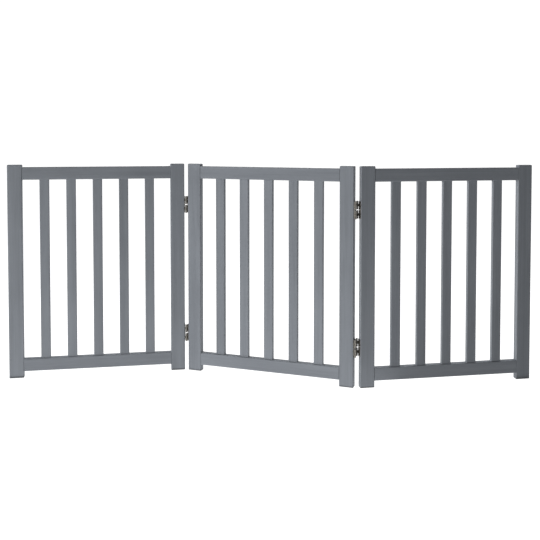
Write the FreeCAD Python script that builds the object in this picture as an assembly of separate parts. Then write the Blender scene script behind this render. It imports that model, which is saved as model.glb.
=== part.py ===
import FreeCAD, Part
import os

# Three-panel folding pet gate of painted wood, free standing, with double-action hinges.
# Frame of the part: +Z up, +X along the gate, the front faces -Y, millimetres.
# The origin is on the floor under the centre of the middle panel.
# The gate stands in its zigzag: the left panel is folded towards the front of the middle
# panel, and the right panel towards its back.

os.makedirs("parts", exist_ok=True)

# ---- Driving dimensions: panels ----
PANEL_WIDTH = 500.0
PANEL_HEIGHT = 610.0
PANEL_THICKNESS = 19.0
POST_WIDTH = 41.0
RAIL_HEIGHT = 36.0
TOP_RAIL_DROP = 7.0            # from the top of the posts to the top of the top rail
BOTTOM_RAIL_RISE = 18.5        # from the floor to the bottom of the bottom rail
SLAT_COUNT = 5
SLAT_WIDTH = 27.0
SLAT_THICKNESS = 12.0
SLAT_TENON = 10.0              # how far a slat goes into each rail
MORTISE_SPARE = 0.5            # glue space past the end of a slat
EDGE_ROUNDING = 2.5            # posts and rails
SLAT_ROUNDING = 2.0

# ---- Driving dimensions: dowel joints between rails and posts ----
DOWEL_DIAMETER = 8.0
DOWEL_LENGTH = 38.0
DOWEL_SPACING = 18.0
DOWEL_CHAMFER = 0.8
DOWEL_SPARE = 1.0              # glue space past each end of a dowel

# ---- Driving dimensions: the stand and the hinges ----
MIDDLE_PANEL_ANGLE = -20.0     # degrees about +Z
FOLD_ANGLE = 30.0              # between neighbouring panels as the gate stands
HINGE_GAP = 9.5                # between two posts when their panels are in line
PIN_OFFSET = 10.0              # from the middle of a panel's thickness to a pin axis
HINGE_LEVELS = {"upper": 490.0, "lower": 110.0}
HINGE_HEIGHT = 48.0
HINGE_WAIST = 4.0              # open space between the two links of a hinge
LEAF_THICKNESS = 1.6
LEAF_WIDTH = 16.0
LEAF_CORNER = 2.0
LINK_THICKNESS = 1.8
LINK_CORNER = 1.2
BARREL_DIAMETER = 5.5
PIN_DIAMETER = 3.0
PIN_CLEARANCE = 0.05           # radial, in every knuckle
PIN_HEAD_DIAMETER = 4.4
PIN_HEAD_HEIGHT = 0.7
KNUCKLE_GAP = 0.25             # between stacked knuckles
MOVING_CLEARANCE = 0.5         # between a link and the knuckles of the leaves
WEB_THICKNESS = 3.0            # the strip between a leaf's plate and its knuckle
WEB_LIP = 1.0                  # how far that strip goes past the pin axis

# ---- Driving dimensions: hinge screws ----
SCREW_LENGTH = 16.0
SCREW_DIAMETER = 3.0
SCREW_HEAD_DIAMETER = 6.0
SCREW_TIP_LENGTH = 4.0
SCREW_OFFSET = 3.8             # sideways from the middle of the leaf
RECESS_LENGTH = 3.2
RECESS_WIDTH = 0.8
RECESS_DEPTH = 1.0

# ---- Worked-out sizes ----
HALF_WIDTH = PANEL_WIDTH / 2
HALF_THICKNESS = PANEL_THICKNESS / 2
HALF_GAP = HINGE_GAP / 2
RAIL_LENGTH = PANEL_WIDTH - 2 * POST_WIDTH
BOTTOM_RAIL_Z = BOTTOM_RAIL_RISE
TOP_RAIL_Z = PANEL_HEIGHT - TOP_RAIL_DROP - RAIL_HEIGHT
SLAT_BOTTOM = BOTTOM_RAIL_Z + RAIL_HEIGHT - SLAT_TENON
SLAT_TOP = TOP_RAIL_Z + SLAT_TENON
SLAT_GAP = (RAIL_LENGTH - SLAT_COUNT * SLAT_WIDTH) / (SLAT_COUNT + 1)
PANEL_PITCH = PANEL_WIDTH + HINGE_GAP
HINGE_X = PANEL_PITCH / 2      # from a panel's centre to the middle of the hinge gap
BARREL_RADIUS = BARREL_DIAMETER / 2
LINK_HEIGHT = (HINGE_HEIGHT - HINGE_WAIST) / 2
KNUCKLE_HEIGHT = (LINK_HEIGHT - 2 * KNUCKLE_GAP) / 3
SCREW_PITCH = HINGE_HEIGHT / 4

UP = FreeCAD.Vector(0, 0, 1)
ALONG = FreeCAD.Vector(1, 0, 0)
ORIGIN = FreeCAD.Vector(0, 0, 0)


# ---- Small helpers ----
def block(low, high):
    """A box between two corners."""
    size = FreeCAD.Vector(*high) - FreeCAD.Vector(*low)
    return Part.makeBox(size.x, size.y, size.z, FreeCAD.Vector(*low))


def edges_along(shape, axis):
    """The straight edges that run parallel to an axis."""
    chosen = []
    for edge in shape.Edges:
        run = edge.Vertexes[-1].Point - edge.Vertexes[0].Point
        if run.cross(axis).Length < 1e-6:
            chosen.append(edge)
    return chosen


def rounded_block(low, high, radius, axis):
    """A box with the edges along one axis rounded."""
    shape = block(low, high)
    return shape.makeFillet(radius, edges_along(shape, axis))


def upright_cylinder(radius, x, y, bottom, top):
    return Part.makeCylinder(radius, top - bottom, FreeCAD.Vector(x, y, bottom), UP)


def turned(shape, angle, pivot=ORIGIN):
    """A copy turned about a vertical axis through the pivot."""
    copy = shape.copy()
    copy.rotate(pivot, UP, angle)
    return copy


def moved(shape, x=0.0, y=0.0, z=0.0):
    copy = shape.copy()
    copy.translate(FreeCAD.Vector(x, y, z))
    return copy


# ---- Wooden members, in a panel's own frame: x from the panel's centre, y through it ----
def make_post(side):
    """A full-height post with every edge rounded; side is -1 on the left and +1 on the right."""
    centre = side * (HALF_WIDTH - POST_WIDTH / 2)
    low = (centre - POST_WIDTH / 2, -HALF_THICKNESS, 0.0)
    high = (centre + POST_WIDTH / 2, HALF_THICKNESS, PANEL_HEIGHT)
    shape = block(low, high)
    return shape.makeFillet(EDGE_ROUNDING, shape.Edges)


def make_rail(bottom):
    """A rail between the posts, with its four long edges rounded."""
    low = (-RAIL_LENGTH / 2, -HALF_THICKNESS, bottom)
    high = (RAIL_LENGTH / 2, HALF_THICKNESS, bottom + RAIL_HEIGHT)
    return rounded_block(low, high, EDGE_ROUNDING, ALONG)


def slat_prism(index, bottom, top):
    """The rounded section of one slat, from one height to another."""
    left = -RAIL_LENGTH / 2 + SLAT_GAP + index * (SLAT_WIDTH + SLAT_GAP)
    low = (left, -SLAT_THICKNESS / 2, bottom)
    high = (left + SLAT_WIDTH, SLAT_THICKNESS / 2, top)
    return rounded_block(low, high, SLAT_ROUNDING, UP)


def dowel_cylinder(side, height, spare):
    """A dowel's cylinder across the joint between a rail and a post."""
    length = DOWEL_LENGTH + 2 * spare
    start = FreeCAD.Vector(side * RAIL_LENGTH / 2 - length / 2, 0, height)
    return Part.makeCylinder(DOWEL_DIAMETER / 2, length, start, ALONG)


def dowel_places():
    """Side and height of each of a panel's eight dowels."""
    places = []
    for rail_bottom in (BOTTOM_RAIL_Z, TOP_RAIL_Z):
        middle = rail_bottom + RAIL_HEIGHT / 2
        for side in (-1, 1):
            for offset in (-DOWEL_SPACING / 2, DOWEL_SPACING / 2):
                places.append((side, middle + offset))
    return places


def make_dowels():
    """The panel's dowels, chamfered at both ends, as one group."""
    dowels = []
    for side, height in dowel_places():
        dowel = dowel_cylinder(side, height, 0.0)
        rims = [edge for edge in dowel.Edges if isinstance(edge.Curve, Part.Circle)]
        dowels.append(dowel.makeChamfer(DOWEL_CHAMFER, rims))
    return Part.makeCompound(dowels)


def make_panel(name):
    """All the wooden nodes of one panel."""
    dowel_holes = [dowel_cylinder(side, height, DOWEL_SPARE) for side, height in dowel_places()]
    bottom_mortises = []
    top_mortises = []
    nodes = {}
    for index in range(SLAT_COUNT):
        nodes[f"{name}_slat_{index + 1}"] = slat_prism(index, SLAT_BOTTOM, SLAT_TOP)
        bottom_mortises.append(slat_prism(index, SLAT_BOTTOM - MORTISE_SPARE, SLAT_TOP))
        top_mortises.append(slat_prism(index, SLAT_BOTTOM, SLAT_TOP + MORTISE_SPARE))
    nodes[f"{name}_left_post"] = make_post(-1).cut(dowel_holes)
    nodes[f"{name}_right_post"] = make_post(1).cut(dowel_holes)
    nodes[f"{name}_bottom_rail"] = make_rail(BOTTOM_RAIL_Z).cut(dowel_holes + bottom_mortises)
    nodes[f"{name}_top_rail"] = make_rail(TOP_RAIL_Z).cut(dowel_holes + top_mortises)
    nodes[f"{name}_dowels"] = make_dowels()
    return nodes


# ---- Hinge pieces, in the hinge's own frame: panels in line, origin mid-gap and mid-height ----
# side is -1 for the leaf on the left-hand post, whose knuckles are on the front pins, and
# +1 for the leaf on the right-hand post, whose knuckles are on the back pins.
def link_bottoms():
    """The lower end of the bottom link and of the top link."""
    return (-HINGE_HEIGHT / 2, HINGE_WAIST / 2)


def knuckle_ends(link_bottom, place):
    """The two ends of a knuckle; place 0 and 2 are the link's, place 1 is the leaf's."""
    bottom = link_bottom + place * (KNUCKLE_HEIGHT + KNUCKLE_GAP)
    return bottom, bottom + KNUCKLE_HEIGHT


def pin_hole(side, bottom, top):
    radius = PIN_DIAMETER / 2 + PIN_CLEARANCE
    return upright_cylinder(radius, 0, side * PIN_OFFSET, bottom, top)


def screw_places():
    """Across-the-leaf and height offsets of a leaf's four screws, in a zigzag."""
    places = []
    for index in range(4):
        sideways = SCREW_OFFSET if index % 2 else -SCREW_OFFSET
        places.append((sideways, (index - 1.5) * SCREW_PITCH))
    return places


def make_screw(side, sideways, height):
    """A countersunk wood screw whose head is flush with the leaf, driven away from the gap."""
    inward = FreeCAD.Vector(side, 0, 0)
    head = FreeCAD.Vector(side * (HALF_GAP - LEAF_THICKNESS), sideways, height)
    neck = head + inward * LEAF_THICKNESS
    shank_length = SCREW_LENGTH - LEAF_THICKNESS - SCREW_TIP_LENGTH
    shank_end = neck + inward * shank_length
    radius = SCREW_DIAMETER / 2
    cone = Part.makeCone(SCREW_HEAD_DIAMETER / 2, radius, LEAF_THICKNESS, head, inward)
    shank = Part.makeCylinder(radius, shank_length, neck, inward)
    tip = Part.makeCone(radius, 0, SCREW_TIP_LENGTH, shank_end, inward)
    return cone.fuse([shank, tip]).removeSplitter()


def make_recess(side, sideways, height):
    """The cross recess in a screw's head."""
    face = side * (HALF_GAP - LEAF_THICKNESS)
    xs = sorted((face, face + side * RECESS_DEPTH))
    long_half = RECESS_LENGTH / 2
    short_half = RECESS_WIDTH / 2
    level = block((xs[0], sideways - long_half, height - short_half),
                  (xs[1], sideways + long_half, height + short_half))
    upright = block((xs[0], sideways - short_half, height - long_half),
                    (xs[1], sideways + short_half, height + long_half))
    return level.fuse(upright)


def make_leaf(side):
    """A leaf: the plate on the post's edge, two knuckles on one pin line, and screw holes."""
    outer = side * HALF_GAP
    inner = side * (HALF_GAP - LEAF_THICKNESS)
    xs = sorted((outer, inner))
    plate = rounded_block((xs[0], -LEAF_WIDTH / 2, -HINGE_HEIGHT / 2),
                          (xs[1], LEAF_WIDTH / 2, HINGE_HEIGHT / 2), LEAF_CORNER, ALONG)
    pin_y = side * PIN_OFFSET
    web_xs = sorted((outer, side * LINK_THICKNESS))
    web_ys = sorted((pin_y - side * WEB_THICKNESS, pin_y + side * WEB_LIP))
    shape = plate
    holes = []
    for link_bottom in link_bottoms():
        bottom, top = knuckle_ends(link_bottom, 1)
        barrel = upright_cylinder(BARREL_RADIUS, 0, pin_y, bottom, top)
        web = block((web_xs[0], web_ys[0], bottom), (web_xs[1], web_ys[1], top))
        shape = shape.fuse([barrel, web])
        holes.append(pin_hole(side, bottom, top))
    holes += [make_screw(side, sideways, height) for sideways, height in screw_places()]
    return shape.cut(holes).removeSplitter()


def make_link(link_bottom):
    """A link: a plate across the gap with two knuckles on the front pin and two on the back."""
    top = link_bottom + LINK_HEIGHT
    half = LINK_THICKNESS / 2
    shape = rounded_block((-half, -PIN_OFFSET, link_bottom), (half, PIN_OFFSET, top),
                          LINK_CORNER, ALONG)
    notch_bottom = knuckle_ends(link_bottom, 1)[0] - KNUCKLE_GAP
    notch_top = knuckle_ends(link_bottom, 1)[1] + KNUCKLE_GAP
    notch_depth = BARREL_RADIUS + MOVING_CLEARANCE
    for side in (-1, 1):
        ys = sorted((side * (PIN_OFFSET + notch_depth), side * (PIN_OFFSET - notch_depth)))
        shape = shape.cut(block((-half, ys[0], notch_bottom), (half, ys[1], notch_top)))
    for side in (-1, 1):
        for place in (0, 2):
            ends = knuckle_ends(link_bottom, place)
            shape = shape.fuse(upright_cylinder(BARREL_RADIUS, 0, side * PIN_OFFSET, *ends))
    shape = shape.cut([pin_hole(side, link_bottom, top) for side in (-1, 1)])
    return shape.removeSplitter()


def make_pin(side, link_bottom):
    """A hinge pin with a peened head at each end."""
    pin_y = side * PIN_OFFSET
    top = link_bottom + LINK_HEIGHT
    shank = upright_cylinder(PIN_DIAMETER / 2, 0, pin_y, link_bottom, top)
    head_radius = PIN_HEAD_DIAMETER / 2
    upper_head = upright_cylinder(head_radius, 0, pin_y, top, top + PIN_HEAD_HEIGHT)
    lower_head = upright_cylinder(head_radius, 0, pin_y, link_bottom - PIN_HEAD_HEIGHT, link_bottom)
    return shank.fuse([upper_head, lower_head]).removeSplitter()


# ---- Hardware on the panels ----
def hang_leaves(nodes, panel_name, side, leaf_names, screws_name):
    """Screws the leaves of one hinge line to one end of a panel; side is -1 for the left
    end, which takes right-hand leaves, and +1 for the right end, which takes left-hand ones."""
    leaf_side = -side
    post_name = f"{panel_name}_{'left' if side < 0 else 'right'}_post"
    screws = []
    for level, height in HINGE_LEVELS.items():
        leaf = moved(make_leaf(leaf_side), side * HINGE_X, 0, height)
        nodes[leaf_names[level]] = leaf
        for sideways, offset in screw_places():
            screw = make_screw(leaf_side, sideways, offset)
            nodes[post_name] = nodes[post_name].cut(moved(screw, side * HINGE_X, 0, height))
            screw = screw.cut(make_recess(leaf_side, sideways, offset))
            screws.append(moved(screw, side * HINGE_X, 0, height))
    nodes[screws_name] = Part.makeCompound(screws)


def make_links_and_pins(line, side):
    """The links and pins of one hinge line, in the middle panel's frame."""
    nodes = {}
    pins = {-1: [], 1: []}
    for level, height in HINGE_LEVELS.items():
        for part_name, link_bottom in zip(("bottom", "top"), link_bottoms()):
            link = moved(make_link(link_bottom), side * HINGE_X, 0, height)
            nodes[f"{line}_{level}_hinge_{part_name}_link"] = link
            for pin_side in (-1, 1):
                pin = make_pin(pin_side, link_bottom)
                pins[pin_side].append(moved(pin, side * HINGE_X, 0, height))
    nodes[f"{line}_front_pins"] = Part.makeCompound(pins[-1])
    nodes[f"{line}_back_pins"] = Part.makeCompound(pins[1])
    return nodes


def leaf_names(line, owner):
    return {level: f"{line}_{level}_hinge_{owner}_leaf" for level in HINGE_LEVELS}


# ---- The gate as it stands ----
def hinge_axis(line, face):
    """A point on a pin axis as the gate stands; face is -1 for the front pins, +1 for the back."""
    side = -1 if line == "left" else 1
    point = FreeCAD.Vector(side * HINGE_X, face * PIN_OFFSET, 0)
    return FreeCAD.Rotation(UP, MIDDLE_PANEL_ANGLE).multVec(point)


def make_gate():
    """Every node in its place."""
    middle = make_panel("middle")
    hang_leaves(middle, "middle", -1, leaf_names("left", "inner"), "left_inner_screws")
    hang_leaves(middle, "middle", 1, leaf_names("right", "inner"), "right_inner_screws")
    middle.update(make_links_and_pins("left", -1))
    middle.update(make_links_and_pins("right", 1))

    left = make_panel("left")
    hang_leaves(left, "left", 1, leaf_names("left", "outer"), "left_outer_screws")
    right = make_panel("right")
    hang_leaves(right, "right", -1, leaf_names("right", "outer"), "right_outer_screws")

    gate = {name: turned(shape, MIDDLE_PANEL_ANGLE) for name, shape in middle.items()}
    for panel, side, face in ((left, -1, -1), (right, 1, 1)):
        pivot = hinge_axis("left" if side < 0 else "right", face)
        for name, shape in panel.items():
            in_line = turned(moved(shape, side * PANEL_PITCH), MIDDLE_PANEL_ANGLE)
            gate[name] = turned(in_line, FOLD_ANGLE, pivot)
    return gate


gate = make_gate()
for node_name, node_shape in gate.items():
    node_shape.exportStep(f"parts/{node_name}.step")
print(len(gate), "nodes")
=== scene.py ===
import bpy
import math
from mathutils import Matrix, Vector

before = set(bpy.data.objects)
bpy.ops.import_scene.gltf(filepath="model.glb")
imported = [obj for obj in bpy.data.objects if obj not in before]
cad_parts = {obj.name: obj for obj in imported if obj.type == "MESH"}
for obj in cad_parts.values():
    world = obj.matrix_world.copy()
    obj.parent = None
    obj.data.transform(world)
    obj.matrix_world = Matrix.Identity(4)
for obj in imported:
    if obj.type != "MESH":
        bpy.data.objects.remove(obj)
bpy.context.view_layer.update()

# The looks of a folding pet gate: grey satin paint over softwood, and dark nickel hinges.
# Metres, +Z up, +X along the gate, the front faces -Y.

# ---- Driving values: how the parts are turned about +Z as the gate stands ----
MIDDLE_PANEL_TURN = math.radians(-20)
OUTER_PANEL_TURN = math.radians(10)
LINK_TURN = math.radians(-5)

# ---- Driving values: colours, linear ----
PAINT_DARK = (0.166, 0.179, 0.199)
PAINT_LIGHT = (0.234, 0.252, 0.277)
# Light grey for the rounded edges: a painted highlight where they catch the light, and paint
# rubbed thin.
PAINT_EDGE_HIGHLIGHT_AND_WEAR = (0.350, 0.365, 0.385)
BEECH_DARK = (0.420, 0.250, 0.130)
BEECH_LIGHT = (0.620, 0.420, 0.250)
FLOOR_COLOR = (0.2, 0.2, 0.2, 1)
WHITE = (1, 1, 1, 1)

# The platings, from dull to bright, and how far a rounded edge goes towards bright: a painted
# highlight, and plating rubbed bright there.
NICKEL = {"dark": (0.055, 0.052, 0.047), "bright": (0.450, 0.425, 0.380), "edge_highlight_and_wear": 0.8}
ZINC = {"dark": (0.230, 0.230, 0.240), "bright": (0.520, 0.520, 0.530), "edge_highlight_and_wear": 0.6}

# ---- Driving values: patterns, as the scale of their noise for places in metres ----
GRAIN_STRETCH = 36             # how much longer the grain is along a member than across it
FIBRE_SCALE = 260.0
RING_SCALE = 55.0
BLOTCH_SCALE = 6.0
STIPPLE_SCALE = 900.0
PATCH_SCALE = 45.0
TARNISH_SCALE = 110.0
BRUSHING_SCALES = (2600, 2600, 160)
BEECH_SCALES = (40, 900, 900)
MEMBER_OFFSET = (7.3, 3.1, 5.7)  # the most that a member's pattern is shifted

# ---- Driving values: how the patterns are mixed ----
FULL = (0.0, 1.0)
NOISE_MIDDLE = (0.3, 0.7)      # most of a noise lies in this range
NOISE_SPAN = (0.2, 0.8)        # nearly all of it lies in this range
SHADE_WEIGHTS = (0.30, 0.40, 0.30, 0.12)  # of blotches, rings, fibres and the member itself
SHADE_RANGE = (0.38, 0.74)
RELIEF_WEIGHTS = (0.60, 0.25, 0.15)  # of fibres, rings and stipple
# The patches of painted highlight and rubbed paint on the rounded edges, and how far they go.
PATCH_RANGE = (0.45, 0.70)
PATCH_HIGHLIGHT_AND_WEAR = (0.0, 0.5)
FLAT_TO_ROUND = (0.97, 0.75)   # the largest part of the normal, on a face and on an edge
TARNISH_SHINE = (0.05, 0.28)
BRUSHING_SHINE = (-0.06, 0.08)

# ---- Driving values: roughness, gloss, and each bump's strength and depth in metres ----
PAINT_ROUGHNESS = (0.40, 0.50)
STIPPLE_ROUGHNESS = (-0.04, 0.04)
PAINT_SPECULAR = 0.2
PAINT_BUMP = (0.5, 0.0006)
PLATING_ROUGHNESS = (0.20, 0.36)
BRUSHING_ROUGHNESS = (-0.05, 0.05)
PLATING_BUMP = (0.25, 0.00008)
BEECH_ROUGHNESS = (0.70, 0.55)
BEECH_BUMP = (0.4, 0.0002)

# ---- Driving values: floor and backdrop ----
FLOOR_SIZE = 40.0
BACKDROP_GLOW = 1.1            # seen by the camera, just past white
SKY_LIGHT = 0.04

# ---- Driving values: camera, with sensor and focal length in millimetres ----
CAMERA_PLACE = (0.0033, -2.269, 0.707)
CAMERA_TILT = math.radians(2.25)  # down from level
CAMERA_SENSOR = 36.0
CAMERA_FOCAL = 53.4467
CAMERA_SHIFT = -0.20

# ---- Driving values: soft boxes ----
# Place, the point that the box faces, size, power in watts, and whether gloss mirrors the box.
# The two bounce lights lie just above the floor and face up.
GATE_MIDDLE = (0, 0, 0.3)
LIGHTS = {
    "side_light": ((-3.55, -1.85, 0.9), GATE_MIDDLE, (2.6, 1.8), 106, False),
    "front_light": ((-1.35, -2.90, 0.5), GATE_MIDDLE, (1.2, 0.9), 9, True),
    "rim_light": ((-2.95, 0.52, 0.9), GATE_MIDDLE, (1.0, 1.5), 70, False),
    "top_light": ((0.3, 1.3, 2.1), (0, 0.3, 0.4), (3.0, 1.6), 61, True),
    "wide_bounce": ((0, 0, 0.002), (0, 0, 1), (8.0, 8.0), 106, False),
    "near_bounce": ((-0.55, -0.30, 0.004), (-0.55, -0.30, 1), (1.8, 1.8), 7, False),
}


# ---- Node helpers ----
def new_material(name):
    material = bpy.data.materials.new(name)
    material.use_nodes = True
    return material, material.node_tree.nodes["Principled BSDF"]


def feed(tree, socket, value):
    """Links a socket to another node's output, or sets its value."""
    if isinstance(value, bpy.types.NodeSocket):
        tree.links.new(value, socket)
    else:
        socket.default_value = value


def calculate(tree, operation, first, second):
    node = tree.nodes.new("ShaderNodeMath")
    node.operation = operation
    feed(tree, node.inputs[0], first)
    feed(tree, node.inputs[1], second)
    return node.outputs[0]


def weighted_sum(tree, values, weights):
    """The sum of the values, each times its weight."""
    total = 0.0
    for value, weight in zip(values, weights):
        total = calculate(tree, "ADD", calculate(tree, "MULTIPLY", value, weight), total)
    return total


def vector_step(tree, operation, first, second=(0, 0, 0)):
    node = tree.nodes.new("ShaderNodeVectorMath")
    node.operation = operation
    feed(tree, node.inputs[0], first)
    feed(tree, node.inputs[1], second)
    return node.outputs[0]


def noise(tree, place, scale, detail, roughness=0.5):
    node = tree.nodes.new("ShaderNodeTexNoise")
    node.inputs["Scale"].default_value = scale
    node.inputs["Detail"].default_value = detail
    node.inputs["Roughness"].default_value = roughness
    tree.links.new(place, node.inputs["Vector"])
    return node.outputs["Fac"]


def stretched_noise(tree, place, scales, detail, roughness=0.5):
    """Noise with its own scale along each axis."""
    return noise(tree, vector_step(tree, "MULTIPLY", place, scales), 1.0, detail, roughness)


def remap(tree, value, old_range, new_range):
    """Carries one range to another, and stops at the new range's ends."""
    node = tree.nodes.new("ShaderNodeMapRange")
    feed(tree, node.inputs["Value"], value)
    node.inputs["From Min"].default_value = old_range[0]
    node.inputs["From Max"].default_value = old_range[1]
    node.inputs["To Min"].default_value = new_range[0]
    node.inputs["To Max"].default_value = new_range[1]
    return node.outputs["Result"]


def mix_colors(tree, amount, first, second):
    """Colours may be outputs or plain triples."""
    node = tree.nodes.new("ShaderNodeMix")
    node.data_type = "RGBA"
    feed(tree, node.inputs["Factor"], amount)
    for socket, color in ((node.inputs["A"], first), (node.inputs["B"], second)):
        feed(tree, socket, color if isinstance(color, bpy.types.NodeSocket) else (*color, 1))
    return node.outputs["Result"]


def bump(tree, shader, height, strength, depth):
    node = tree.nodes.new("ShaderNodeBump")
    node.inputs["Strength"].default_value = strength
    node.inputs["Distance"].default_value = depth
    tree.links.new(height, node.inputs["Height"])
    tree.links.new(node.outputs["Normal"], shader.inputs["Normal"])


def own_vector(tree, kind, turn):
    """The place ("Object") or the normal ("Normal") in the frame of a member turned about +Z."""
    node = tree.nodes.new("ShaderNodeVectorRotate")
    node.rotation_type = "Z_AXIS"
    node.inputs["Angle"].default_value = -turn
    coordinates = tree.nodes.new("ShaderNodeTexCoord")
    tree.links.new(coordinates.outputs[kind], node.inputs["Vector"])
    return node.outputs["Vector"]


def member_number(tree):
    """A number from 0 to 1 that every member has for itself."""
    return tree.nodes.new("ShaderNodeObjectInfo").outputs["Random"]


def pattern_place(tree, member, turn):
    """The place in the member's own frame, shifted so that no two members look the same."""
    shift = vector_step(tree, "MULTIPLY", member, MEMBER_OFFSET)
    return vector_step(tree, "ADD", own_vector(tree, "Object", turn), shift)


def edge_mask(tree, turn):
    """1 on rounded edges, 0 on flat faces that are square to the member."""
    size = vector_step(tree, "ABSOLUTE", own_vector(tree, "Normal", turn))
    split = tree.nodes.new("ShaderNodeSeparateXYZ")
    tree.links.new(size, split.inputs[0])
    largest = calculate(tree, "MAXIMUM", split.outputs["X"], split.outputs["Y"])
    largest = calculate(tree, "MAXIMUM", largest, split.outputs["Z"])
    return remap(tree, largest, FLAT_TO_ROUND, FULL)


# ---- Materials ----
def painted_wood(name, turn, grain):
    """Satin paint through which the grain shows; grain is its stretch along each axis."""
    material, shader = new_material(name)
    tree = material.node_tree
    member = member_number(tree)
    place = pattern_place(tree, member, turn)
    fibre_scales = tuple(FIBRE_SCALE / stretch for stretch in grain)
    ring_scales = tuple(RING_SCALE / stretch for stretch in grain)
    fibres = stretched_noise(tree, place, fibre_scales, detail=4.0, roughness=0.6)
    rings = stretched_noise(tree, place, ring_scales, detail=2.0)
    blotches = noise(tree, place, BLOTCH_SCALE, detail=2.0)
    stipple = noise(tree, place, STIPPLE_SCALE, detail=1.0)

    shade = weighted_sum(tree, (blotches, rings, fibres, member), SHADE_WEIGHTS)
    shade = remap(tree, shade, SHADE_RANGE, FULL)
    paint = mix_colors(tree, shade, PAINT_DARK, PAINT_LIGHT)

    # Lighter in patches on the rounded edges: a painted highlight, and paint rubbed thin there.
    patches = noise(tree, place, PATCH_SCALE, detail=3.0)
    patches = remap(tree, patches, PATCH_RANGE, PATCH_HIGHLIGHT_AND_WEAR)
    lit_edge_and_wear = calculate(tree, "MULTIPLY", edge_mask(tree, turn), patches)
    tree.links.new(mix_colors(tree, lit_edge_and_wear, paint, PAINT_EDGE_HIGHLIGHT_AND_WEAR), shader.inputs["Base Color"])

    broad = remap(tree, blotches, NOISE_MIDDLE, PAINT_ROUGHNESS)
    fine = remap(tree, stipple, NOISE_SPAN, STIPPLE_ROUGHNESS)
    tree.links.new(calculate(tree, "ADD", broad, fine), shader.inputs["Roughness"])
    shader.inputs["Specular IOR Level"].default_value = PAINT_SPECULAR
    relief = weighted_sum(tree, (fibres, rings, stipple), RELIEF_WEIGHTS)
    bump(tree, shader, relief, *PAINT_BUMP)
    return material


def plated_steel(name, turn, dark, bright, edge_highlight_and_wear):
    """Plating with a faint cloudy tarnish, fine upright brushing, and rounded edges lightened:
    painted highlight, and plating rubbed bright.
    """
    material, shader = new_material(name)
    tree = material.node_tree
    place = pattern_place(tree, member_number(tree), turn)
    tarnish = noise(tree, place, TARNISH_SCALE, detail=2.0)
    brushing = stretched_noise(tree, place, BRUSHING_SCALES, detail=2.0)

    shine = remap(tree, tarnish, NOISE_MIDDLE, TARNISH_SHINE)
    # Rounded edges go towards bright: a painted highlight, and plating rubbed bright.
    edges_highlighted_and_worn = calculate(tree, "MULTIPLY", edge_mask(tree, turn), edge_highlight_and_wear)
    shine = calculate(tree, "MAXIMUM", shine, edges_highlighted_and_worn)
    streaks = remap(tree, brushing, NOISE_MIDDLE, BRUSHING_SHINE)
    shine = calculate(tree, "ADD", shine, streaks)
    tree.links.new(mix_colors(tree, shine, dark, bright), shader.inputs["Base Color"])

    broad = remap(tree, tarnish, NOISE_MIDDLE, PLATING_ROUGHNESS)
    fine = remap(tree, brushing, NOISE_SPAN, BRUSHING_ROUGHNESS)
    tree.links.new(calculate(tree, "ADD", broad, fine), shader.inputs["Roughness"])
    shader.inputs["Metallic"].default_value = 1.0
    bump(tree, shader, brushing, *PLATING_BUMP)
    return material


def beech():
    """The bare dowels inside the joints, whose grain runs nearly along the rails."""
    material, shader = new_material("dowel_beech")
    tree = material.node_tree
    place = pattern_place(tree, member_number(tree), 0.0)
    grain = stretched_noise(tree, place, BEECH_SCALES, detail=4.0, roughness=0.6)
    shade = remap(tree, grain, NOISE_MIDDLE, FULL)
    tree.links.new(mix_colors(tree, shade, BEECH_DARK, BEECH_LIGHT), shader.inputs["Base Color"])
    tree.links.new(remap(tree, grain, NOISE_SPAN, BEECH_ROUGHNESS), shader.inputs["Roughness"])
    bump(tree, shader, grain, *BEECH_BUMP)
    return material


def make_materials():
    """Every finish, under the name that material_kind gives it."""
    upright = (1, 1, GRAIN_STRETCH)
    level = (GRAIN_STRETCH, 1, 1)
    return {
        "middle_upright": painted_wood("middle_upright_paint", MIDDLE_PANEL_TURN, upright),
        "outer_upright": painted_wood("outer_upright_paint", OUTER_PANEL_TURN, upright),
        "middle_rail": painted_wood("middle_rail_paint", MIDDLE_PANEL_TURN, level),
        "outer_rail": painted_wood("outer_rail_paint", OUTER_PANEL_TURN, level),
        "inner_leaf": plated_steel("inner_leaf_nickel", MIDDLE_PANEL_TURN, **NICKEL),
        "outer_leaf": plated_steel("outer_leaf_nickel", OUTER_PANEL_TURN, **NICKEL),
        "link": plated_steel("link_nickel", LINK_TURN, **NICKEL),
        "pins": plated_steel("pin_steel", LINK_TURN, **ZINC),
        "screws": plated_steel("screw_zinc", OUTER_PANEL_TURN, **ZINC),
        "dowels": beech(),
    }


def material_kind(name):
    """The finish of a CAD node, from its name."""
    for ending in ("inner_leaf", "outer_leaf", "link", "pins", "screws", "dowels"):
        if name.endswith("_" + ending):
            return ending
    panel = "middle" if name.startswith("middle_") else "outer"
    member = "rail" if name.endswith("_rail") else "upright"
    return panel + "_" + member


def assign_materials():
    materials = make_materials()
    for name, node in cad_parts.items():
        node.data.materials.clear()
        node.data.materials.append(materials[material_kind(name)])


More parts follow.
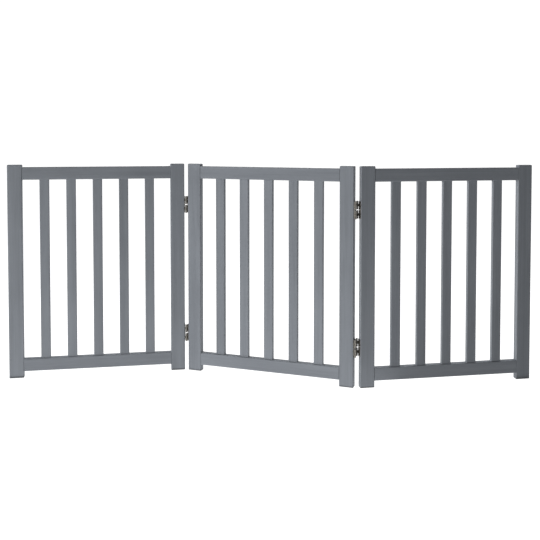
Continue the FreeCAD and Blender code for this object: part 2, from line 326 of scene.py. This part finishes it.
# ---- Studio ----
def make_floor():
    """A plain white floor, glowing so that it shows as white as the backdrop.

    The glow is left out of the light on the gate: the bounce lights stand for it.
    """
    bpy.ops.mesh.primitive_plane_add(size=FLOOR_SIZE, location=(0, 0, 0))
    floor = bpy.context.object
    floor.name = "floor"
    floor.visible_diffuse = False
    material, shader = new_material("floor_white")
    shader.inputs["Base Color"].default_value = FLOOR_COLOR
    shader.inputs["Roughness"].default_value = 1.0
    shader.inputs["Specular IOR Level"].default_value = 0.0
    shader.inputs["Emission Color"].default_value = WHITE
    shader.inputs["Emission Strength"].default_value = BACKDROP_GLOW
    floor.data.materials.append(material)


def make_light(name, place, target, size, power, mirrored):
    """A soft box; one that is not mirrored gives no glare."""
    data = bpy.data.lights.new(name, "AREA")
    data.shape = "RECTANGLE"
    data.size, data.size_y = size
    data.energy = power
    light = bpy.data.objects.new(name, data)
    light.location = place
    light.visible_glossy = mirrored
    direction = Vector(target) - Vector(place)
    light.rotation_euler = direction.to_track_quat("-Z", "Y").to_euler()
    bpy.context.scene.collection.objects.link(light)


def make_world():
    """A backdrop that the camera sees as white, and that lights the gate only weakly."""
    world = bpy.data.worlds.new("studio")
    world.use_nodes = True
    tree = world.node_tree
    background = tree.nodes["Background"]
    background.inputs["Color"].default_value = WHITE
    seen = tree.nodes.new("ShaderNodeLightPath").outputs["Is Camera Ray"]
    strength = remap(tree, seen, FULL, (SKY_LIGHT, BACKDROP_GLOW))
    tree.links.new(strength, background.inputs["Strength"])
    bpy.context.scene.world = world


def make_camera():
    data = bpy.data.cameras.new("camera")
    data.sensor_width = CAMERA_SENSOR
    data.lens = CAMERA_FOCAL
    data.shift_y = CAMERA_SHIFT
    camera = bpy.data.objects.new("camera", data)
    camera.location = CAMERA_PLACE
    camera.rotation_euler = (math.pi / 2 - CAMERA_TILT, 0, 0)
    bpy.context.scene.collection.objects.link(camera)
    bpy.context.scene.camera = camera


assign_materials()
make_floor()
for light_name, light_settings in LIGHTS.items():
    make_light(light_name, *light_settings)
make_world()
make_camera()
bpy.context.scene.view_settings.view_transform = "Standard"
